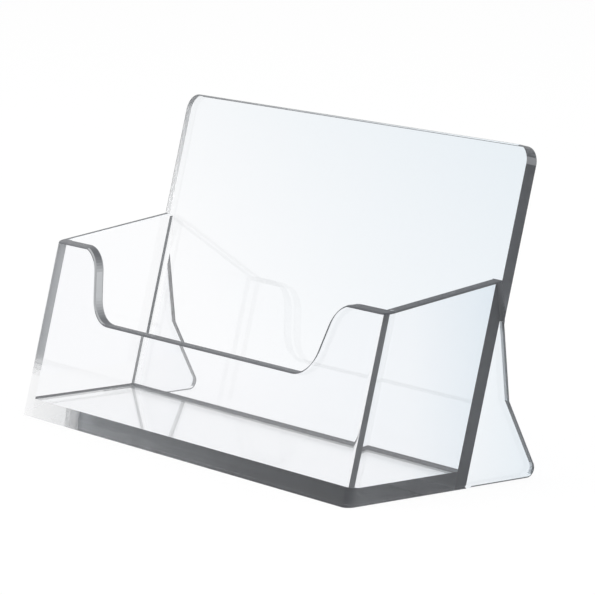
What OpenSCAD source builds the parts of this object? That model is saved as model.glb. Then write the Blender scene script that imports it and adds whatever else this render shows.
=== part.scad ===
// Clear sheet holder for small cards, set landscape on a desk.
// A front panel with a finger scoop, a base plate and a tall back panel lean back
// together between two side plates, whose rear fins prop the back panel.
// X runs across the holder, Y from front to back, Z up from the table.

/* [Sheet] */
// Outside width, over the two side plates
holder_w = 100; // [92:1:140]
// Thickness of the back and side sheets
sheet_t = 2.5; // [2:0.1:3.5]
// Thickness of the front panel
front_t = 1.9; // [1.5:0.1:3]
// Thickness of the base plate
base_t = 2.8; // [2:0.1:4]
// Lean of the front and back panels away from upright, in degrees
recline = 14.5; // [8:0.5:22]

/* [Pocket] */
// Depth at the table, from the front panel's face to the back panel's rear face
base_d = 26.8; // [18:0.2:40]
// Height of the front panel's top edge above the table, on its inner face
front_h = 32.3; // [27:0.1:38]
// Radius on the upright outer corners of the front panel
front_corner_r = 1.6; // [0.5:0.1:1.8]

/* [Scoop] */
// Width of the finger scoop, half way up its sides
scoop_w = 69; // [50:1:74]
// Height of the scoop's low edge above the table
scoop_low_h = 19.3; // [14:0.1:23]
// Outward flare of the scoop's sides from upright, in degrees
scoop_flare = 17; // [5:1:25]
// Radius of the scoop's two low corners
scoop_low_r = 6; // [2:0.5:7]
// Radius where the scoop's sides roll over into the top edge
scoop_top_r = 6; // [2:0.5:7]

/* [Back panel] */
// Length of the back panel up its rear face, from the table to the top edge
back_len = 59.1; // [48:0.1:80]
// Radius of the back panel's two top corners
back_corner_r = 3.1; // [1:0.1:10]

/* [Side plates] */
// Height of a side plate where its top edge meets the back panel
side_rear_h = 35.2; // [30:0.1:40]
// Height of the knee in a fin's rear edge
fin_knee_h = 14; // [8:0.2:20]
// How far the knee stands out behind the back panel
fin_knee_reach = 4.9; // [4:0.1:9]
// How far a fin's foot would stand out behind the back panel without its rounded heel
fin_foot_reach = 15.3; // [10:0.1:26]
// Radius of a fin's heel
fin_heel_r = 1.7; // [0.5:0.1:4]

/* [Hidden] */
$fn = 96;

// Pale clear sheet
sheet_colour = [0.86, 0.91, 0.95, 0.5];
// Spare length by which a cutting tool runs past what it cuts
cut_over = 5;

half_w = holder_w / 2;
// Width between the side plates
inner_w = holder_w - 2 * sheet_t;
lean = tan(recline);
// Front-to-back depth of the reclined back and front panels, on a level cut
sheet_d = sheet_t / cos(recline);
front_d = front_t / cos(recline);

// Side of the scoop, and the largest corner radius that half of it can hold
scoop_mid_h = (front_h + scoop_low_h) / 2;
scoop_side_len = (front_h - scoop_low_h) / cos(scoop_flare);
corner_run = 1 / tan((90 + scoop_flare) / 2);
corner_r_max = scoop_side_len / 2 / corner_run;
low_r = min(scoop_low_r, corner_r_max);
top_r = min(scoop_top_r, corner_r_max);
round_r = min(front_corner_r, front_t);

// Rise of the side plates' top edges for each unit of depth, which the front panel's top edge carries on
top_rise = (side_rear_h - front_h) / (back_front(side_rear_h) - front_inner(front_h));
front_face_h = (front_h - top_rise * front_inner(front_h)) / (1 - top_rise * lean);

// Depth of the fin's outline points from the front panel's lower edge
knee_d = back_rear(fin_knee_h) + fin_knee_reach;
foot_d = base_d + fin_foot_reach;
// Angle between the table and the fin's lower rear edge
heel_angle = atan2(fin_knee_h, foot_d - knee_d);
heel_run = fin_heel_r / tan(heel_angle / 2);

// The frame's origin is the middle of the footprint, below the holder's overall box
overall_d = max(base_d + back_len * sin(recline), foot_d - heel_run + fin_heel_r);

// Depth of the front panel's inner face at a height
function front_inner(h) = front_d + h * lean;
// Depth of the back panel's front face at a height
function back_front(h) = base_d - sheet_d + h * lean;
// Depth of the back panel's rear face at a height
function back_rear(h) = base_d + h * lean;
// Half width of the scoop at a height, along its straight sides
function scoop_half(h) = scoop_w / 2 + (h - scoop_mid_h) * tan(scoop_flare);

// Moves a piece drawn from the front panel's lower edge into the holder's frame
module in_frame() {
  translate([0, -overall_d / 2, 0]) children();
}

// Extrudes a depth and height outline across the holder, centred on x
module across(width) {
  rotate([90, 0, 90]) linear_extrude(width, center = true) children();
}

// A level slice, up to a height, between two faces that lean back together
module leaning_outline(d0, d1, h) {
  polygon([[d0, 0], [d1, 0], [d1 + h * lean, h], [d0 + h * lean, h]]);
}

// One half of the scoop as seen from the front, with both of its corners rounded
module half_scoop() {
  low_x = scoop_half(scoop_low_h);
  low_tan = low_r * corner_run;
  top_x = scoop_half(front_h);
  top_tan = top_r * corner_run;
  out = [sin(scoop_flare), cos(scoop_flare)];
  over_h = front_h + cut_over;
  polygon([
    [0, scoop_low_h], [low_x - low_tan, scoop_low_h], [low_x - low_tan, scoop_low_h + low_r],
    [low_x, scoop_low_h] + low_tan * out, [top_x, front_h], [top_x, over_h], [0, over_h]
  ]);
  translate([low_x - low_tan, scoop_low_h + low_r]) circle(low_r);
  difference() {
    polygon([
      [top_x, front_h] - top_tan * out, [top_x, over_h], [top_x + top_tan, over_h],
      [top_x + top_tan, front_h]
    ]);
    translate([top_x + top_tan, front_h - top_r]) circle(top_r);
  }
}

// Cutter for the scoop, running level from front to back through the front panel
module scoop_cutter() {
  depth = 2 * (front_inner(front_h) + cut_over);
  rotate([90, 0, 0]) linear_extrude(depth, center = true) {
    half_scoop();
    mirror([1, 0]) half_scoop();
  }
}

// Cutter that rounds the front panel's right upright corner, along the lean
module upright_rounder() {
  length = front_h / cos(recline) + 4 * cut_over;
  rotate([-recline, 0, 0]) translate([0, 0, -2 * cut_over]) linear_extrude(length) difference() {
    translate([half_w - round_r, -cut_over]) square([round_r + cut_over, round_r + cut_over]);
    translate([half_w - round_r, round_r]) circle(round_r);
  }
}

// Back panel seen square on: straight sides and two rounded top corners
module back_outline() {
  square_h = back_len - back_corner_r;
  translate([-half_w, -cut_over]) square([holder_w, square_h + cut_over]);
  translate([back_corner_r - half_w, 0]) square([holder_w - 2 * back_corner_r, back_len]);
  for (side = [-1, 1]) {
    translate([side * (half_w - back_corner_r), square_h]) circle(back_corner_r);
  }
}

// Side plate seen from the side: pocket wall in front, prop fin with a knee behind
module side_outline() {
  heel = [foot_d - heel_run, fin_heel_r];
  heel_tan = [foot_d, 0] + heel_run * [-cos(heel_angle), sin(heel_angle)];
  polygon([
    [front_inner(0), 0], [heel.x, 0], heel, heel_tan, [knee_d, fin_knee_h],
    [back_front(side_rear_h), side_rear_h], [front_inner(front_h), front_h]
  ]);
  translate(heel) circle(fin_heel_r);
}

// The side outline on the right (side = 1) or left (side = -1), made outwards from the inner face
module side_plate(side, thickness) {
  translate([side * (inner_w + thickness) / 2, 0, 0]) across(thickness) side_outline();
}

// Everything below the table, to trim a leaning sheet level
module below_table() {
  size = 2 * max(holder_w, base_d, back_len);
  translate([-size / 2, -size / 2, -size]) cube(size);
}

module base_plate() {
  color(sheet_colour) in_frame() across(inner_w) leaning_outline(front_inner(0), back_front(0), base_t);
}

module front_panel() {
  color(sheet_colour) in_frame() difference() {
    across(holder_w) polygon([
      [0, 0], [front_d, 0], [front_inner(front_h), front_h], [front_face_h * lean, front_face_h]
    ]);
    scoop_cutter();
    upright_rounder();
    mirror([1, 0, 0]) upright_rounder();
  }
}

// The panel's lower part is notched to sit between the side plates
module back_panel() {
  color(sheet_colour) in_frame() difference() {
    translate([0, base_d, 0]) rotate([90 - recline, 0, 0]) linear_extrude(sheet_t) back_outline();
    below_table();
    for (side = [-1, 1]) {
      side_plate(side, sheet_t + cut_over);
    }
  }
}

module left_side_plate() {
  color(sheet_colour) in_frame() side_plate(-1, sheet_t);
}

module right_side_plate() {
  color(sheet_colour) in_frame() side_plate(1, sheet_t);
}

base_plate();
front_panel();
back_panel();
left_side_plate();
right_side_plate();
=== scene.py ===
"""Clear desktop card holder: five polished sheets cemented into a leaning pocket, on a white table.

Every length is in metres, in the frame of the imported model: +X to the right, +Y to the back, +Z up.
"""

import logging
import math
from collections.abc import Iterable, Sequence
from dataclasses import dataclass, replace
from enum import Enum

import bmesh
import bpy
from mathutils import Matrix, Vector


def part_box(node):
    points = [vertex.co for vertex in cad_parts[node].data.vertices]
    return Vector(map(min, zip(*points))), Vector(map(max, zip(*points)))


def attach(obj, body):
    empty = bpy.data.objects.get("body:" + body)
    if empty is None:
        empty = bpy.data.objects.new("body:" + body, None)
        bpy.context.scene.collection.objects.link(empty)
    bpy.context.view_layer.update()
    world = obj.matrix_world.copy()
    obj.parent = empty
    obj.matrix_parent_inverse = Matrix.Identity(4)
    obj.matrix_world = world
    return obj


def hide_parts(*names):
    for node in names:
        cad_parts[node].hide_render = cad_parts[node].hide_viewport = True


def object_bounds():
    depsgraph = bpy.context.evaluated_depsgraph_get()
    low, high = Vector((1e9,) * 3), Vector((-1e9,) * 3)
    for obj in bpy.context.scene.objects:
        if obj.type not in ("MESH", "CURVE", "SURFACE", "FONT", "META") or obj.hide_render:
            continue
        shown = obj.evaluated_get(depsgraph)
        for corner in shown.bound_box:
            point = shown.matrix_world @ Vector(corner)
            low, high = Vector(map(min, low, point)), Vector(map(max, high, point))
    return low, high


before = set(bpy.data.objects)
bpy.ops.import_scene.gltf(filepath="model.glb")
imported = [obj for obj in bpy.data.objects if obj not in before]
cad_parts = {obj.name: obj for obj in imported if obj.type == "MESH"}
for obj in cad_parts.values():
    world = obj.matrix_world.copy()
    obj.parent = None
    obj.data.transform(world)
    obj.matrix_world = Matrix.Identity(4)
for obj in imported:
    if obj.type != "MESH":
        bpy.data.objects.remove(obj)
cad_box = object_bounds()

LOG = logging.getLogger("card_holder")
MM = 0.001
BODY = "root"
CEMENT = "cement"
EDGE = "edge"
SATIN = "satin"
TONE = "tone"
CUT_SATIN = 0.88
JOINT_SATIN = 0.92
ACROSS = Vector((1.0, 0.0, 0.0))
BACK = Vector((0.0, 1.0, 0.0))
UP = Vector((0.0, 0.0, 1.0))

Point = tuple[float, float]
Colour = tuple[float, float, float]


class Side(Enum):
    """Which end of the holder a piece belongs to, as seen from the front."""

    LEFT = -1
    RIGHT = 1


class Joint(Enum):
    """How a face of a sheet meets the next sheet."""

    NONE = "stands free"
    CLEAR = "clear cement, which light passes unbent"
    GREY = "cement over saw marks, which show grey"
    DRY = "touches without cement and stays polished"


@dataclass(frozen=True)
class FaceFinish:
    """Marks of one face: its joint, clear film, saw cut, share of matt grey and the grey's tone."""

    joint: Joint = Joint.NONE
    film: float = 0.0
    sawn: float = 0.0
    satin: float = 0.0
    tone: float = 0.0

    def marks(self) -> dict[str, float]:
        """The face attributes that the material reads."""
        return {CEMENT: self.film, EDGE: self.sawn, SATIN: self.satin, TONE: self.tone}


POLISHED = FaceFinish()
CEMENTED = FaceFinish(joint=Joint.CLEAR, film=1.0)
DRY = FaceFinish(joint=Joint.DRY)


def grey_joint(tone: float, film: float = 0.0) -> FaceFinish:
    """A cemented saw cut of one tone, from 0 for dark grey to 1 for near white, with some film."""
    return FaceFinish(joint=Joint.GREY, film=film, sawn=1.0, satin=JOINT_SATIN, tone=tone)


def saw_cut(tone: float, satin: float = CUT_SATIN) -> FaceFinish:
    """A free saw cut of one tone and one share of matt grey."""
    return FaceFinish(sawn=1.0, satin=satin, tone=tone)


class Signal:
    """One output socket of a node, with arithmetic that adds Math nodes."""

    def __init__(self, graph: "Graph", socket: bpy.types.NodeSocket) -> None:
        """Keeps the socket and the graph that it belongs to."""
        self.graph = graph
        self.socket = socket

    def _math(self, operation: str, first: "Signal | float", second: "Signal | float") -> "Signal":
        """Adds one Math node.

        Args:
            operation: Blender's name for the operation.
            first: the left-hand value.
            second: the right-hand value.

        Returns:
            The result as a new signal.
        """
        return self.graph.out("ShaderNodeMath", {"operation": operation}, {0: first, 1: second})

    def __add__(self, other: "Signal | float") -> "Signal":
        """Sum with a signal or a number."""
        return self._math("ADD", self, other)

    def __radd__(self, other: float) -> "Signal":
        """Sum with a number on the left."""
        return self._math("ADD", other, self)

    def __sub__(self, other: "Signal | float") -> "Signal":
        """Difference from a signal or a number."""
        return self._math("SUBTRACT", self, other)

    def __rsub__(self, other: float) -> "Signal":
        """Difference from a number on the left."""
        return self._math("SUBTRACT", other, self)

    def __mul__(self, other: "Signal | float") -> "Signal":
        """Product with a signal or a number."""
        return self._math("MULTIPLY", self, other)

    def __rmul__(self, other: float) -> "Signal":
        """Product with a number on the left."""
        return self._math("MULTIPLY", other, self)

    def __or__(self, other: "Signal | float") -> "Signal":
        """The larger of two masks."""
        return self._math("MAXIMUM", self, other)

    def __ror__(self, other: float) -> "Signal":
        """The larger of a mask and a number on the left."""
        return self._math("MAXIMUM", other, self)


class Graph:
    """A node tree that is filled by short calls."""

    def __init__(self, tree: bpy.types.NodeTree) -> None:
        """Empties the tree and keeps it."""
        self.tree = tree
        tree.nodes.clear()

    def node(
        self,
        kind: str,
        settings: dict[str, object] | None = None,
        inputs: dict[int | str, object] | None = None,
    ) -> bpy.types.Node:
        """Adds any node.

        Args:
            kind: Blender's type name of the node.
            settings: properties that are set before its sockets.
            inputs: values or signals for its sockets, by name or place.

        Returns:
            The new node.
        """
        made = self.tree.nodes.new(kind)
        for name, value in (settings or {}).items():
            setattr(made, name, value)
        for place, value in (inputs or {}).items():
            if isinstance(value, Signal):
                self.tree.links.new(value.socket, made.inputs[place])
            else:
                made.inputs[place].default_value = value
        return made

    def out(
        self,
        kind: str,
        settings: dict[str, object] | None = None,
        inputs: dict[int | str, object] | None = None,
        socket: int | str = 0,
    ) -> Signal:
        """Adds any node and gives one of its outputs.

        Args:
            kind: Blender's type name of the node.
            settings: properties that are set before its sockets.
            inputs: values or signals for its sockets, by name or place.
            socket: the output that is wanted, by name or place.

        Returns:
            That output as a signal.
        """
        return Signal(self, self.node(kind, settings, inputs).outputs[socket])

    def blend_colour(self, factor: Signal, first: Signal | Colour, second: Signal | Colour) -> Signal:
        """Mixes two colours by a mask.

        Args:
            factor: 0 gives the first colour and 1 the second.
            first: the colour where the mask is 0.
            second: the colour where the mask is 1.

        Returns:
            The mixed colour.
        """
        made = self.node("ShaderNodeMix", {"data_type": "RGBA"}, {"Factor": factor})
        sockets = [socket for socket in made.inputs if socket.type == "RGBA"]
        for socket, colour in zip(sockets, (first, second)):
            if isinstance(colour, Signal):
                self.tree.links.new(colour.socket, socket)
            else:
                socket.default_value = (*colour, 1.0)
        return Signal(self, next(socket for socket in made.outputs if socket.type == "RGBA"))

    def blend_shader(self, factor: Signal, first: Signal, second: Signal) -> Signal:
        """Mixes two shaders by a mask."""
        return self.out("ShaderNodeMixShader", None, {0: factor, 1: first, 2: second})

    def seen_rays(self) -> Signal:
        """Mask of the rays that show a background: straight, mirrored and through glass.

        Returns:
            The mask, 1 for those rays and 0 for the others.
        """
        path = self.node("ShaderNodeLightPath").outputs
        camera = Signal(self, path["Is Camera Ray"])
        mirrored = Signal(self, path["Is Glossy Ray"])
        through = Signal(self, path["Is Transmission Ray"])
        return camera | mirrored | through


@dataclass(frozen=True)
class ClearSheet:
    """Clear polished sheet: bright faces, satin grey cut edges and joints that light passes; the grey
    is partly the edges' matt saw finish and partly painted shade for the dark room that polished edges
    reflect and bend into view.
    """

    name: str = "clear_sheet"
    ior: float = 1.49
    absorb_density: float = 9.0
    absorb_colour: Colour = (0.30, 0.34, 0.38)
    clear_colour: Colour = (0.985, 0.988, 0.997)
    tint_colour: Colour = (0.80, 0.865, 0.915)
    tint_start: float = -0.1
    tint_back: float = 0.035 / MM
    tint_right: float = 0.0067 / MM
    # The dark edge colour and the satin greys darken the cut edges and joints: partly their matt saw
    # finish, partly painted shade for the dark room that polished edges reflect and bend into view.
    edge_colour: Colour = (0.060, 0.062, 0.068)
    satin_dark: Colour = (0.053, 0.057, 0.066)
    satin_pale: Colour = (0.93, 0.95, 0.97)
    satin_mottle: float = 0.05
    satin_specular: float = 0.15
    satin_roughness: float = 0.38
    cement_colour: Colour = (0.98, 0.98, 0.98)
    shadow_colour: Colour = (0.93, 0.94, 0.95)
    face_roughness: float = 0.004
    haze_roughness: float = 0.012
    edge_roughness: float = 0.08
    haze_scale: float = 38.0
    haze_detail: float = 3.0
    haze_middle: float = 0.5
    ripple_scale: float = 55.0
    ripple_detail: float = 1.0
    ripple_strength: float = 0.012
    saw_scale: float = 900.0
    saw_detail: float = 2.0
    saw_strength: float = 0.02
    bump_distance: float = 0.2 * MM

    def material(self) -> bpy.types.Material:
        """Makes the material.

        Returns:
            The material that every sheet of the holder shares.
        """
        made = bpy.data.materials.new(self.name)
        made.use_nodes = True
        graph = Graph(made.node_tree)
        place = graph.out("ShaderNodeTexCoord", socket="Object")
        edge, cement, share, tone = (
            graph.out("ShaderNodeAttribute", {"attribute_name": name}, socket="Fac")
            for name in (EDGE, CEMENT, SATIN, TONE)
        )
        haze = self._noise(graph, place, self.haze_scale, self.haze_detail)
        face_rough = self.face_roughness + self.haze_roughness * haze
        # The tone attribute brings each face's grey, with painted light and shade where a piece gives
        # it; the haze mottles it.
        grey = tone + (haze - self.haze_middle) * self.satin_mottle
        normal = self._surface(graph, place, edge)
        sheet = graph.out(
            "ShaderNodeBsdfPrincipled",
            None,
            {
                "Base Color": graph.blend_colour(edge, self._tint(graph, place), self.edge_colour),
                "Roughness": face_rough + edge * self.edge_roughness,
                "IOR": self.ior,
                "Transmission Weight": 1.0,
                "Normal": normal,
            },
        )
        satin = graph.out(
            "ShaderNodeBsdfPrincipled",
            None,
            {
                "Base Color": graph.blend_colour(grey, self.satin_dark, self.satin_pale),
                "Roughness": self.satin_roughness + self.haze_roughness * haze,
                "Specular IOR Level": self.satin_specular,
                "Normal": normal,
            },
        )
        film = graph.out("ShaderNodeBsdfTransparent", None, {"Color": (*self.cement_colour, 1.0)})
        shade = graph.out("ShaderNodeBsdfTransparent", None, {"Color": (*self.shadow_colour, 1.0)})
        shadow_ray = graph.out("ShaderNodeLightPath", socket="Is Shadow Ray")
        cut = graph.blend_shader(share, sheet, satin)
        joined = graph.blend_shader(cement, cut, film)
        surface = graph.blend_shader(shadow_ray, joined, shade)
        volume = graph.out(
            "ShaderNodeVolumeAbsorption",
            None,
            {"Color": (*self.absorb_colour, 1.0), "Density": self.absorb_density},
        )
        graph.node("ShaderNodeOutputMaterial", None, {"Surface": surface, "Volume": volume})
        return made

    def _tint(self, graph: Graph, place: Signal) -> Signal:
        """Colour of the polished faces, with a cool tint that grows to the back and the right.

        Args:
            graph: the material's graph.
            place: coordinates on the sheet.

        Returns:
            The colour over the sheet.
        """
        axes = graph.node("ShaderNodeSeparateXYZ", None, {"Vector": place}).outputs
        across, back = Signal(graph, axes["X"]), Signal(graph, axes["Y"])
        amount = self.tint_start + self.tint_back * back + self.tint_right * across
        share = graph.out("ShaderNodeClamp", None, {"Value": amount})
        return graph.blend_colour(share, self.clear_colour, self.tint_colour)

    def _noise(self, graph: Graph, place: Signal, scale: float, detail: float) -> Signal:
        """Soft noise over the sheet, from 0 to 1."""
        inputs = {"Vector": place, "Scale": scale, "Detail": detail}
        return graph.out("ShaderNodeTexNoise", None, inputs)

    def _surface(self, graph: Graph, place: Signal, edge: Signal) -> Signal:
        """Adds the faint ripple of the faces and the saw lines of the edges.

        Args:
            graph: the material's graph.
            place: coordinates on the sheet.
            edge: mask of the cut edges.

        Returns:
            The bumped normal.
        """
        ripple = self._noise(graph, place, self.ripple_scale, self.ripple_detail)
        saw = self._noise(graph, place, self.saw_scale, self.saw_detail)
        height = (1.0 - edge) * (ripple * self.ripple_strength) + edge * (saw * self.saw_strength)
        return graph.out(
            "ShaderNodeBump", None, {"Strength": 1.0, "Distance": self.bump_distance, "Height": height}
        )


@dataclass(frozen=True)
class WhiteTable:
    """White table top that shows as the white surround and keeps a soft shadow."""

    name: str = "white_table"
    colour: Colour = (0.93, 0.93, 0.93)
    white: float = 1.0
    whiteness: float = 0.88
    grain_scale: float = 60.0
    grain: float = 0.02

    def material(self) -> bpy.types.Material:
        """Makes the material of the table.

        Returns:
            The material of the table top.
        """
        made = bpy.data.materials.new(self.name)
        made.use_nodes = True
        graph = Graph(made.node_tree)
        place = graph.out("ShaderNodeTexCoord", socket="Object")
        grain = graph.out("ShaderNodeTexNoise", None, {"Vector": place, "Scale": self.grain_scale})
        darker = tuple(part - self.grain for part in self.colour)
        tone = graph.blend_colour(grain, self.colour, darker)
        top = graph.out("ShaderNodeBsdfDiffuse", None, {"Color": tone})
        glow = graph.out("ShaderNodeEmission", None, {"Strength": self.white})
        shown = graph.seen_rays() * self.whiteness
        graph.node("ShaderNodeOutputMaterial", None, {"Surface": graph.blend_shader(shown, top, glow)})
        return made


@dataclass(frozen=True)
class HolderSizes:
    """Sizes of the holder, named as its maker would; depths count from the front panel's lower edge."""

    width: float
    sheet: float
    base_sheet: float
    front_height: float
    side_height: float
    overall_depth: float
    recline: float = math.radians(14.5)
    front_sheet: float = 1.9 * MM
    base_depth: float = 26.8 * MM
    upright_radius: float = 1.6 * MM
    scoop_width: float = 69.0 * MM
    scoop_height: float = 19.3 * MM
    scoop_flare: float = math.radians(17.0)
    scoop_low_radius: float = 6.0 * MM
    scoop_top_radius: float = 6.0 * MM
    back_length: float = 59.1 * MM
    back_radius: float = 3.1 * MM
    knee_height: float = 14.0 * MM
    knee_reach: float = 4.9 * MM
    foot_reach: float = 15.3 * MM
    heel_radius: float = 1.7 * MM
    edge_break: float = 0.3 * MM
    cement_gap: float = 0.02 * MM
    weld_gap: float = 0.001 * MM
    bead_radius: float = 0.4 * MM
    top_line: float = 1.3 * MM
    clear_foot: float = 7.0 * MM
    foot_fade: float = 4.0 * MM

    @classmethod
    def from_frame(cls) -> "HolderSizes":
        """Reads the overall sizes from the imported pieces.

        Returns:
            The holder's sizes.
        """
        front = box_size("front_panel")
        side = box_size("right_side_plate")
        return cls(
            width=front.x,
            sheet=side.x,
            base_sheet=box_size("base_plate").z,
            front_height=front.z,
            side_height=side.z,
            overall_depth=Vector(cad_box[1]).y - Vector(cad_box[0]).y,
        )

    @property
    def half(self) -> float:
        """Half of the outside width."""
        return self.width / 2

    @property
    def inner_half(self) -> float:
        """Half of the width between the side plates."""
        return self.half - self.sheet

    @property
    def lean(self) -> float:
        """Depth that a leaning face gains for each unit of height."""
        return math.tan(self.recline)

    @property
    def sheet_depth(self) -> float:
        """Front-to-back depth of the leaning back panel on a level cut."""
        return self.sheet / math.cos(self.recline)

    @property
    def front_depth(self) -> float:
        """Front-to-back depth of the leaning front panel on a level cut."""
        return self.front_sheet / math.cos(self.recline)

    @property
    def front_face_height(self) -> float:
        """Height of the front panel's top on its front face, in line with the side plates' tops.

        Returns:
            The height above the table.
        """
        inner = self.front_inner(self.front_height)
        rise = (self.side_height - self.front_height) / (self.back_front(self.side_height) - inner)
        return (self.front_height - rise * inner) / (1.0 - rise * self.lean)

    @property
    def scoop_middle(self) -> float:
        """Height half way up the scoop's sides."""
        return (self.front_height + self.scoop_height) / 2

    @property
    def panel_normal(self) -> Vector:
        """The way that the leaning panels face."""
        return Vector((0.0, -math.cos(self.recline), math.sin(self.recline)))

    @property
    def panel_up(self) -> Vector:
        """The way up along the leaning panels."""
        return Vector((0.0, math.sin(self.recline), math.cos(self.recline)))

    @property
    def knee(self) -> Point:
        """Depth and height of the knee in a fin's rear edge."""
        return self.back_rear(self.knee_height) + self.knee_reach, self.knee_height

    def front_inner(self, height: float) -> float:
        """Depth of the front panel's inner face at a height."""
        return self.front_depth + height * self.lean

    def back_front(self, height: float) -> float:
        """Depth of the back panel's front face at a height."""
        return self.base_depth - self.sheet_depth + height * self.lean

    def back_rear(self, height: float) -> float:
        """Depth of the back panel's rear face at a height."""
        return self.base_depth + height * self.lean

    def scoop_half(self, height: float) -> float:
        """Half width of the scoop at a height, on its straight sides."""
        return self.scoop_width / 2 + (height - self.scoop_middle) * math.tan(self.scoop_flare)

    def shoulder_height(self) -> float:
        """Height at which a side plate's rear edge leaves the back panel's rear face.

        Returns:
            The height above the table.
        """
        run = self.knee[0] - self.back_front(self.side_height)
        drop = self.side_height - self.knee_height
        return self.side_height - drop * self.sheet_depth / (run + drop * self.lean)

    def depth_of(self, point: Vector) -> float:
        """Depth of a point of the frame behind the front panel's lower edge."""
        return point.y + self.overall_depth / 2

    def place(self, across: float, depth: float, height: float) -> Vector:
        """A point of the frame from a depth behind the front panel's lower edge."""
        return Vector((across, depth - self.overall_depth / 2, height))


def box_size(node: str) -> Vector:
    """Width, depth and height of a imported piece."""
    low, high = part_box(node)
    return Vector(high) - Vector(low)


def arc(centre: Point, radius: float, start: float, end: float, step: float = 6.0) -> list[Point]:
    """Points along an arc.

    Args:
        centre: centre of the arc.
        radius: its radius.
        start: angle of its first point, in degrees.
        end: angle of its last point, in degrees.
        step: largest angle between points, in degrees.

    Returns:
        The points, both ends included.
    """
    count = max(2, math.ceil(abs(end - start) / step))
    turns = [math.radians(start + (end - start) * index / count) for index in range(count + 1)]
    x, y = centre
    return [(x + radius * math.cos(turn), y + radius * math.sin(turn)) for turn in turns]


def mirrored_ring(half: Sequence[Point]) -> list[Point]:
    """A closed outline from its right half, which runs from the bottom to the top."""
    return [*half, *((-across, up) for across, up in reversed(half))]


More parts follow.
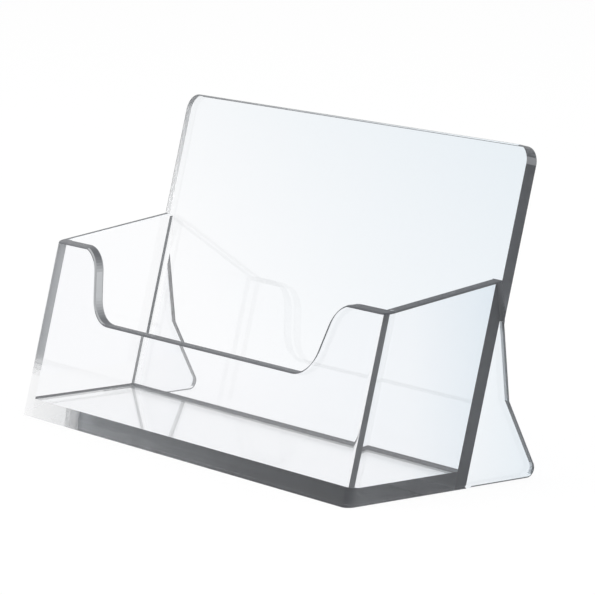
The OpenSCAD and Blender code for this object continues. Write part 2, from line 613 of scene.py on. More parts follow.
@dataclass
class SheetPiece:
    """One sheet of the holder, lofted between its outlines and dressed as clear plastic."""

    sizes: HolderSizes
    node: str = ""
    arris: FaceFinish = saw_cut(0.08, 0.6)
    bevel_steps: int = 3
    round_profile: float = 0.5
    sharp_turn: float = math.radians(35.0)
    free_turn: float = math.radians(25.0)
    stand_turn: float = math.radians(45.0)
    straight: float = 0.9
    split_reach: float = 1e-8

    @property
    def flat(self) -> float:
        """Cosine from which a face counts as looking one way."""
        return math.cos(self.free_turn)

    def rings(self) -> list[list[Vector]]:
        """The outlines that the sheet is lofted through, point for point."""
        raise NotImplementedError

    def broad_normal(self) -> Vector:
        """The way that the broad faces look, either way round."""
        raise NotImplementedError

    def finish(self, centre: Vector, normal: Vector) -> FaceFinish:
        """The finish of a face with this centre and normal."""
        raise NotImplementedError

    def arris_finish(self, centre: Vector, normal: Vector) -> FaceFinish:
        """The finish of a rounded arris with this centre and normal."""
        return self.arris

    def breaks(self, edge: bmesh.types.BMEdge) -> bool:
        """Tells whether a free arris is rounded."""
        return True

    def on_edge(self, normal: Vector) -> bool:
        """Tells whether a face is an edge of the sheet that doesn't stand on the table."""
        across = abs(normal.dot(self.broad_normal())) < self.flat
        return across and normal.z > -math.cos(self.stand_turn)

    def beside(self, edge: bmesh.types.BMEdge, way: Vector) -> bool:
        """Tells whether an edge borders a face that looks straight one way."""
        return any(face.normal.dot(way) > self.straight for face in edge.link_faces)

    def shape(self, mesh: bmesh.types.BMesh) -> None:
        """Rounds corners and splits faces along joints, where the sheet has them."""

    def name(self) -> str:
        """Name of the piece in the scene."""
        return f"clear_{self.node}"

    def build(self) -> bpy.types.Object:
        """Builds the sheet.

        Returns:
            The new object, at its place in the frame.
        """
        mesh = bmesh.new()
        self._loft(mesh)
        self.shape(mesh)
        self._mark(mesh)
        self._break_edges(mesh)
        data = bpy.data.meshes.new(self.name())
        mesh.to_mesh(data)
        mesh.free()
        data.shade_smooth()
        data.set_sharp_from_angle(angle=self.sharp_turn)
        piece = bpy.data.objects.new(self.name(), data)
        bpy.context.scene.collection.objects.link(piece)
        return piece

    def dress(self, piece: bpy.types.Object, finish: bpy.types.Material) -> None:
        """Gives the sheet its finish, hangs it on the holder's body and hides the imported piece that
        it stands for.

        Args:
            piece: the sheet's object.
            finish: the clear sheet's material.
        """
        piece.data.materials.append(finish)
        normals = piece.modifiers.new("flat_faces", "WEIGHTED_NORMAL")
        normals.keep_sharp = True
        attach(piece, BODY)
        if self.node:
            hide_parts(self.node)
        LOG.info("%s: %d faces", piece.name, len(piece.data.polygons))

    def _loft(self, mesh: bmesh.types.BMesh) -> None:
        """Makes the two end faces and the faces between the outlines.

        Args:
            mesh: the sheet's mesh.
        """
        rings = [[mesh.verts.new(point) for point in ring] for ring in self.rings()]
        mesh.faces.new(rings[0])
        mesh.faces.new(list(reversed(rings[-1])))
        for near, far in zip(rings, rings[1:]):
            for index in range(len(near)):
                following = (index + 1) % len(near)
                mesh.faces.new((near[index], far[index], far[following], near[following]))
        bmesh.ops.recalc_face_normals(mesh, faces=mesh.faces)

    def _mark(self, mesh: bmesh.types.BMesh) -> None:
        """Marks every face with its finish.

        Args:
            mesh: the sheet's mesh.
        """
        for name in POLISHED.marks():
            mesh.faces.layers.float.new(name)
        mesh.normal_update()
        for face in mesh.faces:
            self._mark_face(mesh, face, self._finish_of(face))

    def _mark_face(self, mesh: bmesh.types.BMesh, face: bmesh.types.BMFace, finish: FaceFinish) -> None:
        """Writes a finish to the attributes of one face."""
        for name, value in finish.marks().items():
            face[mesh.faces.layers.float[name]] = value

    def _finish_of(self, face: bmesh.types.BMFace) -> FaceFinish:
        """The finish of a face of the mesh."""
        return self.finish(face.calc_center_median(), face.normal)

    def _break_edges(self, mesh: bmesh.types.BMesh) -> None:
        """Rounds every free arris a little; the edges of a joint stay sharp.

        Args:
            mesh: the sheet's mesh.
        """
        free = {face for face in mesh.faces if self._finish_of(face).joint is Joint.NONE}
        arrises = [
            edge
            for edge in mesh.edges
            if edge.calc_face_angle(0.0) > self.free_turn
            and free.issuperset(edge.link_faces)
            and self.breaks(edge)
        ]
        rounded = self._round(mesh, arrises, self.sizes.edge_break, self.bevel_steps)
        mesh.normal_update()
        for face in rounded:
            self._mark_face(mesh, face, self.arris_finish(face.calc_center_median(), face.normal))
        bmesh.ops.remove_doubles(mesh, verts=mesh.verts, dist=self.sizes.weld_gap)

    def _round(
        self, mesh: bmesh.types.BMesh, edges: list[bmesh.types.BMEdge], radius: float, steps: int
    ) -> list[bmesh.types.BMFace]:
        """Rounds some edges of the mesh.

        Args:
            mesh: the sheet's mesh.
            edges: the edges to round.
            radius: how far the rounding reaches along the faces.
            steps: the number of faces round each edge.

        Returns:
            The new faces.
        """
        made = bmesh.ops.bevel(
            mesh,
            geom=edges,
            offset=radius,
            offset_type="OFFSET",
            segments=steps,
            profile=self.round_profile,
            affect="EDGES",
            clamp_overlap=False,
        )
        return made["faces"]

    def _split(
        self, mesh: bmesh.types.BMesh, facing: Vector, point: Vector, normal: Vector
    ) -> None:
        """Splits the faces that look one way along a plane.

        Args:
            mesh: the sheet's mesh.
            facing: the way that the faces to split look.
            point: a point on the plane.
            normal: the plane's normal.
        """
        mesh.normal_update()
        faces = [face for face in mesh.faces if face.normal.dot(facing) > self.flat]
        edges = {edge for face in faces for edge in face.edges}
        verts = {vert for face in faces for vert in face.verts}
        geometry = [*verts, *edges, *faces]
        bmesh.ops.bisect_plane(
            mesh, geom=geometry, plane_co=point, plane_no=normal, dist=self.split_reach
        )


@dataclass
class BasePlate(SheetPiece):
    """The floor of the pocket, cemented to the other sheets along all four of its edges."""

    node: str = "base_plate"
    rear_tone: float = 0.01
    # Painted light: the rear joint pales towards the left end, where the light falls.
    rear_painted_light_slope: float = 0.1
    rear_painted_light_fade: float = 0.29
    fade_power: float = 2.5
    rear_steps: int = 16
    rear_streaks: tuple[Point, ...] = ((1.5 * MM, 0.02), (3.0 * MM, 0.14), (4.6 * MM, 0.08))
    end_tone: float = 0.4
    end_films: tuple[Point, ...] = ((0.70, 1.0), (0.79, 0.64), (0.92, 0.5), (1.0, 0.32))

    def rings(self) -> list[list[Vector]]:
        """The two ends of the plate, with its front and rear edges leaning with the panels.

        Returns:
            The outlines, each a list of points of the frame.
        """
        sizes = self.sizes
        top = sizes.base_sheet
        gap = sizes.cement_gap
        ring = [
            (sizes.front_inner(0.0) + gap, 0.0),
            (sizes.back_front(0.0) - gap, 0.0),
            (sizes.back_front(top) - gap, top),
            (sizes.front_inner(top) + gap, top),
        ]
        end = sizes.inner_half - gap
        return [[sizes.place(across, *point) for point in ring] for across in (-end, end)]

    def shape(self, mesh: bmesh.types.BMesh) -> None:
        """Divides the rear edge along the width and the left end along the depth.

        Args:
            mesh: the sheet's mesh.
        """
        sizes = self.sizes
        step = 2.0 * sizes.inner_half / self.rear_steps
        reaches = [reach for reach, _ in self.rear_streaks]
        for reach in (*reaches, *(step * index for index in range(1, self.rear_steps))):
            self._split(mesh, BACK, (reach - sizes.inner_half) * ACROSS, ACROSS)
        for share, _ in self.end_films:
            if share < 1.0:
                self._split(mesh, -ACROSS, sizes.place(0.0, self._depth_at(share), 0.0), BACK)

    def finish(self, centre: Vector, normal: Vector) -> FaceFinish:
        """All four edges are cemented; the rear one is dark and paled towards the left by painted
        light, with streaks there.

        Args:
            centre: the middle of the face.
            normal: the way that the face looks.

        Returns:
            The finish of the face.
        """
        sizes = self.sizes
        if abs(normal.z) > self.flat:
            return POLISHED
        if normal.y > self.flat:
            return self._rear_finish(centre)
        if normal.x > -self.flat:
            return CEMENTED
        depth = sizes.depth_of(centre)
        film = next((film for share, film in self.end_films if depth < self._depth_at(share)), 1.0)
        return grey_joint(self.end_tone, film) if film < 1.0 else CEMENTED

    def _rear_finish(self, centre: Vector) -> FaceFinish:
        """The joint with the back panel, paled to the left by painted light and streaked at the corner.

        Args:
            centre: the middle of the face.

        Returns:
            The finish of the face.
        """
        half = self.sizes.inner_half
        left_share = 0.5 - centre.x / (2.0 * half)
        streaks = (tone for limit, tone in self.rear_streaks if centre.x + half < limit)
        tone = self.rear_tone + self.rear_painted_light_slope * left_share
        return grey_joint(tone + self.rear_painted_light_fade * left_share**self.fade_power + next(streaks, 0.0))

    def _depth_at(self, share: float) -> float:
        """Depth at a share of the way from the base's front edge to its rear edge."""
        front, rear = self.sizes.front_inner(0.0), self.sizes.back_front(self.sizes.base_sheet)
        return front + (rear - front) * share


@dataclass
class FrontPanel(SheetPiece):
    """The leaning front wall, with rounded uprights and the flared finger scoop."""

    node: str = "front_panel"
    upright_steps: int = 14
    arris_satin: float = 0.9
    # Painted light: the arris and cut tones run from the dark right end to the paler left end.
    arris_painted_light_tones: Point = (0.03, 0.11)
    cut_painted_light_tones: Point = (0.015, 0.085)
    # Painted light: the scoop's faces are paler the more they turn to the right, more sharply above the
    # middle.
    slope_arris_painted_light: float = 0.4
    slope_painted_light: float = 0.72
    slope_powers: tuple[int, int] = (4, 8)
    slope_line: float = 1.1 * MM
    slope_rises: Point = (math.radians(30.0), math.radians(65.0))
    left_slope_turn: float = 0.2
    right_slope_turn: float = 0.3
    level_turn: float = 0.1
    clear_slope: FaceFinish = FaceFinish(film=1.0)

    def rings(self) -> list[list[Vector]]:
        """The front and inner faces; both have the same outline, because the scoop is cut level.

        Returns:
            The outlines, each a list of points of the frame.
        """
        sizes = self.sizes
        outline = mirrored_ring(self._half_outline())
        made = []
        for depth, top in ((0.0, sizes.front_face_height), (sizes.front_depth, sizes.front_height)):
            ring = [(across, min(up, top)) for across, up in outline]
            made.append([sizes.place(across, depth + up * sizes.lean, up) for across, up in ring])
        return made

    def broad_normal(self) -> Vector:
        """The panel leans back."""
        return self.sizes.panel_normal

    def shape(self, mesh: bmesh.types.BMesh) -> None:
        """Rounds the outer uprights, and outlines the inner joints and the right slope's dark line.

        Args:
            mesh: the sheet's mesh.
        """
        sizes = self.sizes
        uprights = [edge for edge in mesh.edges if self._is_upright(edge)]
        self._round(mesh, uprights, sizes.upright_radius, self.upright_steps)
        inward = -sizes.panel_normal
        self._split(mesh, inward, sizes.base_sheet * UP, UP)
        line = self._front_foot() + self.slope_line * inward
        for rise in self.slope_rises:
            facing = Vector((-math.cos(rise), 0.0, math.sin(rise)))
            self._split(mesh, facing, line, sizes.panel_normal)
        for side in Side:
            self._split(mesh, inward, side.value * sizes.inner_half * ACROSS, ACROSS)

    def finish(self, centre: Vector, normal: Vector) -> FaceFinish:
        """The inner face is cemented to its neighbours; the top and the scoop are saw cuts.

        Args:
            centre: the middle of the face.
            normal: the way that the face looks.

        Returns:
            The finish of the face.
        """
        sizes = self.sizes
        inner = normal.dot(sizes.panel_normal) < -self.flat
        if inner and (centre.z < sizes.base_sheet or abs(centre.x) > sizes.inner_half):
            return CEMENTED
        upright = abs(centre.x) > sizes.half - sizes.upright_radius
        rounded = upright and normal.z < math.cos(self.stand_turn)
        if rounded or not self.on_edge(normal):
            return POLISHED
        behind = (self._front_foot() - centre).dot(sizes.panel_normal)
        if self._is_right_slope(normal) and behind > self.slope_line:
            return self.clear_slope
        # Painted light on the scoop: paler the more a face turns to the right; the base tone pales to
        # the left.
        low_power, top_power = self.slope_powers
        power = top_power if centre.z > sizes.scoop_middle else low_power
        slope = self.slope_painted_light * max(0.0, normal.x) ** power
        return saw_cut(self._painted_light_tone_at(centre, self.cut_painted_light_tones) + slope)

    def arris_finish(self, centre: Vector, normal: Vector) -> FaceFinish:
        """Painted light: the arrises pale to the left, and most on the scoop's left-hand slope.

        Args:
            centre: the middle of the face.
            normal: the way that the face looks.

        Returns:
            The finish of the rounded arris.
        """
        if normal.x > self.left_slope_turn and centre.x < 0.0:
            return saw_cut(self.slope_arris_painted_light, self.arris_satin)
        return saw_cut(self._painted_light_tone_at(centre, self.arris_painted_light_tones), self.arris_satin)

    def breaks(self, edge: bmesh.types.BMEdge) -> bool:
        """The right slope of the scoop keeps its inner arris sharp, and the foot both of its own.

        Args:
            edge: an edge of the sheet's mesh.

        Returns:
            Whether the arris is rounded.
        """
        on_slope = any(self._is_right_slope(face.normal) for face in edge.link_faces)
        inner = self.beside(edge, -self.sizes.panel_normal)
        return not (self.beside(edge, -UP) or on_slope and inner)

    def _front_foot(self) -> Vector:
        """Middle of the front face's lower edge."""
        return self.sizes.place(0.0, 0.0, 0.0)

    def _painted_light_tone_at(self, centre: Vector, tones: Point) -> float:
        """Painted light: a tone that grows evenly from the panel's darker right end to its paler left
        end, where the light falls.
        """
        right, left = tones
        return right + (left - right) * (0.5 - centre.x / self.sizes.width)

    def _is_right_slope(self, normal: Vector) -> bool:
        """Tells whether a face of the scoop looks to the left."""
        return normal.x < -self.right_slope_turn and abs(normal.y) < self.level_turn

    def _is_upright(self, edge: bmesh.types.BMEdge) -> bool:
        """Tells whether an edge is one of the two outer uprights.

        Args:
            edge: an edge of the sheet's mesh.

        Returns:
            Whether the edge is an outer upright of the front face.
        """
        sizes = self.sizes
        low, high = sorted((vert.co for vert in edge.verts), key=lambda point: point.z)
        at_end = min(abs(low.x), abs(high.x)) > sizes.half - sizes.cement_gap
        on_face = low.y < sizes.place(0.0, sizes.cement_gap, 0.0).y
        return at_end and on_face and high.z - low.z > sizes.front_height / 2

    def _half_outline(self) -> list[Point]:
        """The right half of the panel seen from the front, from the table to the scoop's low edge.

        Returns:
            Distances across and heights, from the outside to the middle.
        """
        sizes = self.sizes
        flare = math.degrees(sizes.scoop_flare)
        run = 1.0 / math.tan((math.pi / 2 + sizes.scoop_flare) / 2)
        low, low_r = sizes.scoop_height, sizes.scoop_low_radius
        top, top_r = sizes.front_height, sizes.scoop_top_radius
        low_centre = (sizes.scoop_half(low) - low_r * run, low + low_r)
        top_centre = (sizes.scoop_half(top) + top_r * run, top - top_r)
        return [
            (sizes.half, 0.0),
            (sizes.half, top),
            *arc(top_centre, top_r, 90.0, 180.0 - flare),
            *arc(low_centre, low_r, -flare, -90.0),
        ]


@dataclass
class BackPanel(SheetPiece):
    """The tall leaning panel with two rounded top corners, notched to sit between the side plates."""

    node: str = "back_panel"
    fade_steps: int = 10
    notch_tone: float = 0.055
    shoulder_turn: float = 0.5
    end_tone: float = 0.05
    end_satin: float = 0.6
    # Painted highlight: a paler band low on the rounded right corner.
    painted_glint_tone: float = 0.28
    painted_glint_turns: Point = (0.05, 0.45)
    top_tone: float = 0.12
    top_satin: float = 0.8
    top_reach: float = 0.37
    top_rise: float = 0.4
    end_turn: float = 0.15
    # Painted light pales the left end, most at the bottom; painted shade darkens it round the top
    # corner.
    left_painted_light_tones: Point = (1.0, 0.68)
    left_films: Point = (0.62, 0.2)
    corner_painted_shade: float = 0.85
    corner_clear: float = 3.0

    def rings(self) -> list[list[Vector]]:
        """The front and rear faces; the notches and the foot are cut on a slant to the panel.

        Returns:
            The outlines, each a list of points of the frame.
        """
        sizes = self.sizes
        cos, sin = math.cos(sizes.recline), math.sin(sizes.recline)
        front_shoulder = (sizes.side_height - sizes.sheet * sin) / cos
        rear_shoulder = sizes.shoulder_height() / cos
        front = self._outline(-sizes.sheet * sizes.lean, front_shoulder)
        rear = self._outline(0.0, rear_shoulder)
        return [
            [
                sizes.place(across, sizes.base_depth + up * sin - out * cos, up * cos + out * sin)
                for across, up in ring
            ]
            for ring, out in ((front, sizes.sheet), (rear, 0.0))
        ]

    def broad_normal(self) -> Vector:
        """The panel leans back."""
        return self.sizes.panel_normal

    def shape(self, mesh: bmesh.types.BMesh) -> None:
        """Outlines the joint with the base plate, and divides the top and the left end to fade.

        Args:
            mesh: the sheet's mesh.
        """
        sizes = self.sizes
        self._split(mesh, sizes.panel_normal, sizes.base_sheet * UP, UP)
        top_half = sizes.half - sizes.back_radius
        for index in range(1, self.fade_steps):
            share = index / self.fade_steps
            height = sizes.side_height + (self._corner_height() - sizes.side_height) * share
            self._split(mesh, sizes.panel_up, (2.0 * share - 1.0) * top_half * ACROSS, ACROSS)
            self._split(mesh, -ACROSS, height * UP, UP)

    def finish(self, centre: Vector, normal: Vector) -> FaceFinish:
        """The right-hand notch shows grey, painted shade on the holder's dark right side, and the left
        one is dry; the ends and the top are free.

        Args:
            centre: the middle of the face.
            normal: the way that the face looks.

        Returns:
            The finish of the face.
        """
        sizes = self.sizes
        facing = normal.dot(sizes.panel_normal)
        if facing > self.flat and centre.z < sizes.base_sheet:
            return CEMENTED
        notch = abs(normal.x) > self.flat and abs(centre.x) < sizes.half - sizes.sheet / 2
        over_side = abs(centre.x) > sizes.inner_half and centre.z < sizes.side_height
        shoulder = over_side and self.shoulder_turn < facing < math.cos(self.free_turn / 2)
        if notch or shoulder:
            # Painted shade: the notch on the dark right side is grey, the left one stays clear.
            return grey_joint(self.notch_tone) if centre.x > 0.0 else DRY
        if not self.on_edge(normal):
            return POLISHED
        if abs(normal.x) < self.end_turn:
            return self._top_finish(centre)
        return self._right_finish(normal) if normal.x > 0.0 else self._left_finish(centre, normal)

    def arris_finish(self, centre: Vector, normal: Vector) -> FaceFinish:
        """The arrises of the top fade with it."""
        on_top = normal.z > self.top_rise and abs(normal.x) < self.end_turn
        return self._top_finish(centre) if on_top else self.arris

    def breaks(self, edge: bmesh.types.BMEdge) -> bool:
        """The left end keeps its rear arris sharp, and the right end its front one.

        Args:
            edge: an edge of the sheet's mesh.

        Returns:
            Whether the arris is rounded.
        """
        normals = [face.normal for face in edge.link_faces]
        turn = max((normal.x for normal in normals), key=abs)
        facing = max((normal.dot(self.sizes.panel_normal) for normal in normals), key=abs)
        return abs(turn) < self.end_turn or turn * facing < 0.0

    def _corner_height(self) -> float:
        """Height at which the rounded top corners start."""
        return (self.sizes.back_length - self.sizes.back_radius) * math.cos(self.sizes.recline)

    def _top_finish(self, centre: Vector) -> FaceFinish:
        """A saw cut that clears up to the right."""
        strength = max(0.0, self.top_reach - centre.x / self.sizes.width)
        return FaceFinish(sawn=strength, satin=self.top_satin * strength, tone=self.top_tone)

    def _right_finish(self, normal: Vector) -> FaceFinish:
        """A dark saw cut, with a painted highlight low on the rounded corner.

        Args:
            normal: the way that the face looks.

        Returns:
            The finish of the face.
        """
        low, high = self.painted_glint_turns
        painted_glint = low < normal.dot(self.sizes.panel_up) < high
        return saw_cut(self.painted_glint_tone if painted_glint else self.end_tone, self.end_satin)

    def _left_finish(self, centre: Vector, normal: Vector) -> FaceFinish:
        """A saw cut paled by painted light, that clears downwards and is darkened round the corner by
        painted shade.

        Args:
            centre: the middle of the face.
            normal: the way that the face looks.

        Returns:
            The finish of the face.
        """
        rise = (centre.z - self.sizes.side_height) / (self._corner_height() - self.sizes.side_height)
        rise = min(1.0, max(0.0, rise))
        tone, film = (low + (high - low) * rise for low, high in (self.left_painted_light_tones, self.left_films))
        turn = max(0.0, normal.dot(self.sizes.panel_up))
        cut = saw_cut(tone * (1.0 - self.corner_painted_shade * turn))
        return replace(cut, film=film * max(0.0, 1.0 - self.corner_clear * turn))

    def _outline(self, foot: float, shoulder: float) -> list[Point]:
        """One face seen square on.

        Args:
            foot: distance up the panel of its lower edge.
            shoulder: distance up the panel at which it widens over the side plates.

        Returns:
            The closed outline.
        """
        sizes = self.sizes
        narrow = sizes.inner_half - sizes.cement_gap
        over = shoulder + sizes.cement_gap
        radius = sizes.back_radius
        centre = (sizes.half - radius, sizes.back_length - radius)
        return mirrored_ring(
            [(narrow, foot), (narrow, over), (sizes.half, over), *arc(centre, radius, 0.0, 90.0)]
        )


@dataclass
class SidePlate(SheetPiece):
    """A pocket wall and the prop fin behind it, in one plate; the left plate's looks are given here."""

    arris: FaceFinish = saw_cut(0.05, 0.9)
    side: Side = Side.LEFT
    fade_steps: int = 4
    # Painted light and shade: the left plate's top is pale and the right plate's dark, and the right
    # plate's front strip darker, as light falls from the left.
    top_tone: float = 0.012
    line_tone: float = 0.06
    pale_tone: float = 0.95
    foot_line: FaceFinish = saw_cut(0.3, 0.85)
    front_tone: float = 0.50
    front_strip: float = 2.5 * MM
    rear_line: float = 2.2 * MM
    rear_dips: Point = (0.0, math.radians(50.0))
    slant: float = 0.3

    def __post_init__(self) -> None:
        """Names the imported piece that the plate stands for."""
        self.node = f"{self.side.name.lower()}_side_plate"

    def rings(self) -> list[list[Vector]]:
        """The inner and outer faces of the plate.

        Returns:
            The outlines, each a list of points of the frame.
        """
        sizes = self.sizes
        ring = self._outline()
        return [
            [sizes.place(self.side.value * across, *point) for point in ring]
            for across in (sizes.inner_half, sizes.half)
        ]

    def broad_normal(self) -> Vector:
        """The plate stands upright across the holder's end."""
        return ACROSS

    def shape(self, mesh: bmesh.types.BMesh) -> None:
        """Outlines the joints with the base plate and the back panel, and the lines along the edges.

        Args:
            mesh: the sheet's mesh.
        """
        sizes = self.sizes
        inward = -self.side.value * ACROSS
        self._split(mesh, inward, sizes.base_sheet * UP, UP)
        self._split(mesh, -inward, self._foot() * UP, UP)
        for index in range(self.fade_steps + 1):
            height = self._foot() + sizes.foot_fade * index / self.fade_steps
            self._split(mesh, sizes.panel_normal, height * UP, UP)
        for reach, facing in ((self.front_strip, sizes.panel_normal), (sizes.top_line, UP)):
            self._split(mesh, facing, (self._left() + reach) * ACROSS, inward)
        line = (self._left() + sizes.sheet - self.rear_line) * ACROSS
        for dip in self.rear_dips:
            self._split(mesh, Vector((0.0, math.cos(dip), -math.sin(dip))), line, inward)
        for facing in (-inward, -UP):
            self._split(mesh, facing, sizes.place(0.0, sizes.base_depth, 0.0), sizes.panel_normal)
        for depth in (sizes.base_depth - sizes.sheet_depth, sizes.base_depth):
            for facing in (inward, self._rear_normal()):
                self._split(mesh, facing, sizes.place(0.0, depth, 0.0), sizes.panel_normal)

    def finish(self, centre: Vector, normal: Vector) -> FaceFinish:
        """The front edge and the seats are joints; the other edges are polished but for a grey line.

        Args:
            centre: the middle of the face.
            normal: the way that the face looks.

        Returns:
            The finish of the face.
        """
        sizes = self.sizes
        depth = sizes.depth_of(centre)
        in_panel = sizes.back_front(centre.z) < depth < sizes.back_rear(centre.z)
        on_base = centre.z < sizes.base_sheet and depth < sizes.back_front(centre.z)
        front = normal.dot(sizes.panel_normal) > self.flat and centre.z < sizes.front_height
        if front and depth < sizes.front_inner(centre.z) + sizes.sheet:
            return self._front_finish(centre)
        inward = -normal.x * self.side.value
        rear = normal.dot(self._rear_normal()) > self.flat
        if in_panel and (inward > self.flat or rear):
            return CEMENTED if self.side is Side.RIGHT else DRY
        if inward > self.flat and on_base or self._is_bright_foot(centre, normal):
            return CEMENTED
        return self._edge_finish(centre, normal) if self.on_edge(normal) else POLISHED

    def breaks(self, edge: bmesh.types.BMEdge) -> bool:
        """The rear and the foot keep their left arris sharp, and the left plate's top its inner one.

        Args:
            edge: an edge of the sheet's mesh.

        Returns:
            Whether the arris is rounded.
        """
        sizes = self.sizes
        on_left = max(vert.co.x for vert in edge.verts) < self._left() + sizes.sheet / 2
        rear = sizes.place(0.0, sizes.base_depth - sizes.cement_gap, 0.0).y
        in_front = min(vert.co.y for vert in edge.verts) < rear
        if self.beside(edge, UP):
            return on_left or self.side is Side.RIGHT
        return not on_left and not (self.beside(edge, -UP) and in_front)

    def arris_finish(self, centre: Vector, normal: Vector) -> FaceFinish:
        """The arris of the foot is paler than the others."""
        on_foot = normal.z < -self.slant and abs(normal.y) < self.slant
        return self.foot_line if on_foot else self.arris

    def _left(self) -> float:
        """Where the plate's left-hand face lies across the holder."""
        return min(self.side.value * across for across in (self.sizes.inner_half, self.sizes.half))

    def _foot(self) -> float:
        """Height below which the joint with the front panel is clear."""
        return self.sizes.clear_foot if self.side is Side.LEFT else self.sizes.base_sheet

    def _front_finish(self, centre: Vector) -> FaceFinish:
        """The joint with the front panel is a grey strip, set darker for the right plate as painted
        shade; the left one is pale and clears downwards.

        Args:
            centre: the middle of the face.

        Returns:
            The finish of the face.
        """
        shows = centre.x < self._left() + self.front_strip
        if not shows or centre.z < self._foot():
            return CEMENTED
        if self.side is Side.RIGHT:
            return grey_joint(self.front_tone)
        clear = 1.0 - (centre.z - self._foot()) / self.sizes.foot_fade
        return grey_joint(self.front_tone, max(0.0, clear))

    def _edge_finish(self, centre: Vector, normal: Vector) -> FaceFinish:
        """The right plate's top is a dark saw cut, painted shade on the holder's dark right side; the
        other edges are pale but for a dark line.

        Args:
            centre: the middle of the face.
            normal: the way that the face looks.

        Returns:
            The finish of the face.
        """
        sizes = self.sizes
        reach = centre.x - self._left()
        on_top = normal.z > self.straight
        if on_top and self.side is Side.RIGHT:
            return saw_cut(self.top_tone)
        if on_top:
            lined = reach < sizes.top_line
        elif normal.y > self.slant:
            lined = reach > sizes.sheet - self.rear_line
        else:
            return POLISHED
        return saw_cut(self.line_tone if lined else self.pale_tone)

    def _is_bright_foot(self, centre: Vector, normal: Vector) -> bool:
        """Tells whether a face is the left plate's outer foot, which lets light straight in."""
        outer = normal.x * self.side.value > self.flat
        return self.side is Side.LEFT and outer and centre.z < self.sizes.clear_foot

    def _rear_normal(self) -> Vector:
        """The way that the upper rear edge of the fin looks.

        Returns:
            The direction, of length 1.
        """
        sizes = self.sizes
        knee_depth, knee_height = sizes.knee
        drop = sizes.side_height - knee_height
        run = knee_depth - sizes.back_front(sizes.side_height)
        return Vector((0.0, drop, run)).normalized()

    def _outline(self) -> list[Point]:
        """The plate seen from the side, as depths and heights.

        Returns:
            The closed outline.
        """
        sizes = self.sizes
        knee = sizes.knee
        foot = sizes.base_depth + sizes.foot_reach
        rise = math.atan2(knee[1], foot - knee[0])
        heel = (foot - sizes.heel_radius / math.tan(rise / 2), sizes.heel_radius)
        return [
            (sizes.front_inner(0.0) + sizes.cement_gap, 0.0),
            *arc(heel, sizes.heel_radius, -90.0, 90.0 - math.degrees(rise)),
            knee,
            (sizes.back_front(sizes.side_height), sizes.side_height),
            (sizes.front_inner(sizes.front_height) + sizes.cement_gap, sizes.front_height),
        ]


@dataclass
class CementBead(SheetPiece):
    """The thin bead of cement on the pocket's floor, along the left side plate and the back panel."""

    tone: float = 0.11
    section_step: float = 15.0

    def name(self) -> str:
        """Name of the bead in the scene."""
        return "cement_bead"

    def rings(self) -> list[list[Vector]]:
        """The hollow-faced section at three corners of the floor, from front left to rear right.

        Returns:
            The outlines, each a list of points of the frame.
        """
        section = self._section(self.sizes.bead_radius, self.sizes.bead_radius)
        corners = ((Side.LEFT, False), (Side.LEFT, True), (Side.RIGHT, True))
        return [[self._corner(side, rear, *point) for point in section] for side, rear in corners]

    def finish(self, centre: Vector, normal: Vector) -> FaceFinish:
        """The whole bead is grey."""
        return saw_cut(self.tone, JOINT_SATIN)

    def _section(self, first: float, second: float) -> list[Point]:
        """The bead's section.

        Args:
            first: reach of the bead along one face.
            second: reach along the other face.

        Returns:
            Distances from the two faces that the bead joins.
        """
        gap = self.sizes.cement_gap
        hollow = [(0.0, 0.0), *arc((1.0, 1.0), 1.0, 270.0, 180.0, self.section_step)]
        return [(gap + first * across, gap + second * up) for across, up in hollow]

    def _corner(self, side: Side, rear: bool, away: float, up: float) -> Vector:
        """A point of the section at one corner of the floor.

        Args:
            side: the end of the floor that the corner is at.
            rear: whether the corner is at the back panel.
            away: distance from the sheet beside the bead.
            up: distance from the floor.

        Returns:
            The point in the frame.
        """
        sizes = self.sizes
        height = sizes.base_sheet + up
        front = sizes.front_inner(height) + sizes.cement_gap
        depth = sizes.back_front(height) - away if rear else front
        across = sizes.inner_half - (away if side is Side.LEFT else sizes.cement_gap)
        return sizes.place(side.value * across, depth, height)

    def _break_edges(self, mesh: bmesh.types.BMesh) -> None:
        """The bead has no arris to round."""


@dataclass
class CornerBead(CementBead):
    """The bead of cement up the left rear corner of the pocket."""

    tone: float = 0.35
    reaches: Point = (0.2 * MM, 0.5 * MM)

    def name(self) -> str:
        """Name of the bead in the scene."""
        return "corner_bead"

    def rings(self) -> list[list[Vector]]:
        """The hollow-faced section just above the floor and just below the top of the corner.

        Returns:
            The outlines, each a list of points of the frame.
        """
        sizes = self.sizes
        section = self._section(*self.reaches)
        heights = (sizes.base_sheet + sizes.bead_radius, sizes.side_height - sizes.edge_break)
        return [[self._point(height, *point) for point in section] for height in heights]

    def _point(self, height: float, away: float, along: float) -> Vector:
        """A point of the section at a height, by its distances from the side plate and back panel.

        Args:
            height: height of the point above the table.
            away: distance from the side plate.
            along: distance from the back panel.

        Returns:
            The point in the frame.
        """
        sizes = self.sizes
        depth = sizes.back_front(height) - along
        return sizes.place(Side.LEFT.value * (sizes.inner_half - away), depth, height)


@dataclass(frozen=True)
class SoftLamp:
    """One large soft studio lamp, aimed at the holder."""

    name: str
    place: tuple[float, float, float]
    size: float
    power: float

    def build(self) -> None:
        """Adds the lamp, unseen in mirrors and through glass."""
        data = bpy.data.lights.new(self.name, "AREA")
        data.size = self.size
        data.energy = self.power
        lamp = bpy.data.objects.new(self.name, data)
        lamp.location = self.place
        lamp.rotation_euler = (-Vector(self.place)).to_track_quat("-Z", "Y").to_euler()
        lamp.visible_glossy = False
        lamp.visible_transmission = False
        bpy.context.scene.collection.objects.link(lamp)


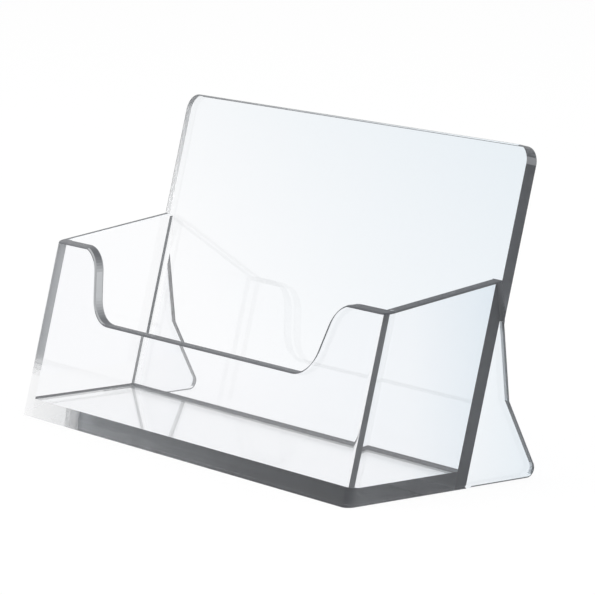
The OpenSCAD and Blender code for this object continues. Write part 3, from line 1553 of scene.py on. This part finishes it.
@dataclass
class Studio:
    """White studio: table, surround, soft lamps and the camera at the photograph's angle."""

    aim: tuple[float, float, float] = (8.79 * MM, -0.04 * MM, 27.97 * MM)
    azimuth: float = 52.996
    elevation: float = 9.629
    distance: float = 0.66
    lens: float = 225.4
    clip: Point = (0.01, 50.0)
    table_half: float = 4.0
    table_drop: float = 0.1 * MM
    ambient: float = 0.75
    bounces: int = 32
    clear_bounces: int = 64
    lamps: tuple[SoftLamp, ...] = (
        SoftLamp("key_lamp", (-0.5, -0.7, 1.1), 0.9, 9.0),
        SoftLamp("fill_lamp", (0.9, 0.3, 0.9), 0.9, 4.0),
    )

    def build(self) -> None:
        """Sets up the whole studio."""
        self._camera()
        self._surround()
        self._table()
        for lamp in self.lamps:
            lamp.build()
        self._render_rules()
        LOG.info("studio: camera %.0f mm away, lens %.0f mm", self.distance / MM, self.lens)

    def _camera(self) -> None:
        """Adds the camera and makes it the scene's own."""
        turn, rise = math.radians(self.azimuth), math.radians(self.elevation)
        out = Vector(
            (math.sin(turn) * math.cos(rise), -math.cos(turn) * math.cos(rise), math.sin(rise))
        )
        data = bpy.data.cameras.new("photo_camera")
        data.lens = self.lens
        data.clip_start, data.clip_end = self.clip
        camera = bpy.data.objects.new("photo_camera", data)
        camera.location = Vector(self.aim) + out * self.distance
        camera.rotation_euler = (math.pi / 2 - rise, 0.0, turn)
        bpy.context.scene.collection.objects.link(camera)
        bpy.context.scene.camera = camera

    def _surround(self) -> None:
        """White surround for what is seen, softer ambient light for what is lit."""
        world = bpy.data.worlds.new("white_surround")
        world.use_nodes = True
        graph = Graph(world.node_tree)
        white = (1.0, 1.0, 1.0, 1.0)
        light = graph.out("ShaderNodeBackground", None, {"Color": white, "Strength": self.ambient})
        shown = graph.out("ShaderNodeBackground", None, {"Color": white, "Strength": 1.0})
        mixed = graph.blend_shader(graph.seen_rays(), light, shown)
        graph.node("ShaderNodeOutputWorld", None, {"Surface": mixed})
        bpy.context.scene.world = world

    def _table(self) -> None:
        """Adds the table top, a hair below the holder."""
        half = self.table_half
        mesh = bmesh.new()
        corners = [(-half, -half), (half, -half), (half, half), (-half, half)]
        mesh.faces.new([mesh.verts.new((x, y, -self.table_drop)) for x, y in corners])
        data = bpy.data.meshes.new("white_table")
        mesh.to_mesh(data)
        mesh.free()
        data.materials.append(WhiteTable().material())
        table = bpy.data.objects.new("white_table", data)
        bpy.context.scene.collection.objects.link(table)

    def _render_rules(self) -> None:
        """Plain view and enough bounces for light to run along the sheets."""
        scene = bpy.context.scene
        scene.view_settings.view_transform = "Standard"
        scene.cycles.max_bounces = self.bounces
        scene.cycles.transmission_bounces = self.bounces
        scene.cycles.glossy_bounces = self.bounces
        scene.cycles.transparent_max_bounces = self.clear_bounces


def main() -> None:
    """Builds the studio and the holder, piece by piece."""
    logging.basicConfig(level=logging.INFO, format="%(name)s: %(message)s")
    Studio().build()
    sizes = HolderSizes.from_frame()
    finish = ClearSheet().material()
    sheets: list[SheetPiece] = [
        BasePlate(sizes),
        FrontPanel(sizes),
        BackPanel(sizes),
        SidePlate(sizes),
        # The right plate's darker front strip is painted shade on the holder's dark right side.
        SidePlate(sizes, side=Side.RIGHT, front_tone=0.12, front_strip=0.8 * MM, rear_line=1.4 * MM),
        CementBead(sizes),
        CornerBead(sizes),
    ]
    for sheet in sheets:
        sheet.dress(sheet.build(), finish)


if __name__ == "__main__":
    main()
